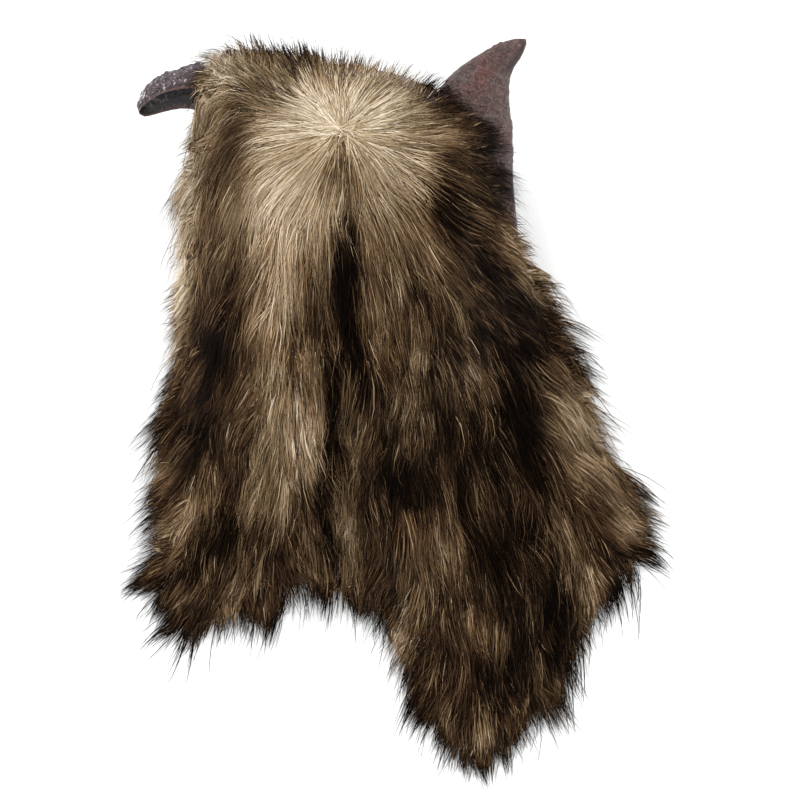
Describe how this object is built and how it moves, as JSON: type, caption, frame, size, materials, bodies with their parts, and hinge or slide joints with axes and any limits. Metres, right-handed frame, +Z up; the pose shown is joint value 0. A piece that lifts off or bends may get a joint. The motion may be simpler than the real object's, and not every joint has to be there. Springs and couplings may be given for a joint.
{
  "type": "werewolf mask",
  "caption": "Full-head wolf-faced rubber mask with ears and a long hood of shaggy fur in two panels, lying face down.",
  "frame": {"origin": "on the floor under the middle of the part's box, as the mask lies face down", "axes": "+Y towards the crown of the head, along the part's length; +Z up, out of the back of the head; +X towards the ear that stands up"},
  "size_m": [0.4356, 0.5952, 0.2503],
  "materials": {
    "latex": "satin",
    "fur": "long pile"
  },
  "bodies": {
    "root": {"latex_mask": "latex", "fur_panel_left": "fur", "fur_panel_right": "fur"}
  },
  "joints": []
}
